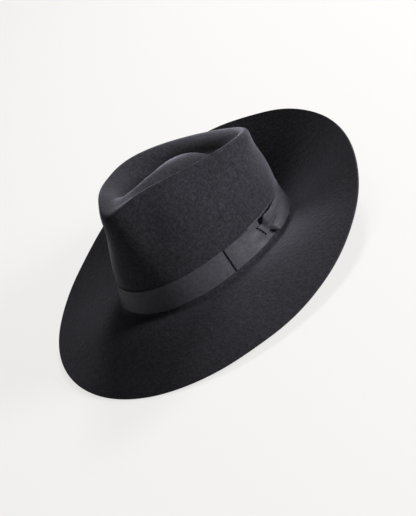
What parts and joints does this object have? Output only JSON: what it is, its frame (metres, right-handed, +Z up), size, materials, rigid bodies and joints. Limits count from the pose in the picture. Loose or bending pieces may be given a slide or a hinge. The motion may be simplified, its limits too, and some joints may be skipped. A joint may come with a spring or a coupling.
{
  "type": "fedora",
  "caption": "Wide-brim felt fedora with a teardrop crown, front pinches, a snapped-down front brim, a ribbon band and a flat side bow.",
  "frame": {"origin": "centre of the hat's bounding box, on the surface that it rests on", "axes": "+Z up, the wearer faces -Y, +X to the wearer's left, where the bow is"},
  "size_m": [0.357, 0.3508, 0.1348],
  "materials": {
    "felt": "matte napped wool felt",
    "ribbon": "satin grosgrain ribbon"
  },
  "bodies": {
    "root": {"felt_body": "felt", "hatband": "ribbon", "bow_front_leaf": "ribbon", "bow_back_leaf": "ribbon", "bow_knot": "ribbon"}
  },
  "joints": []
}
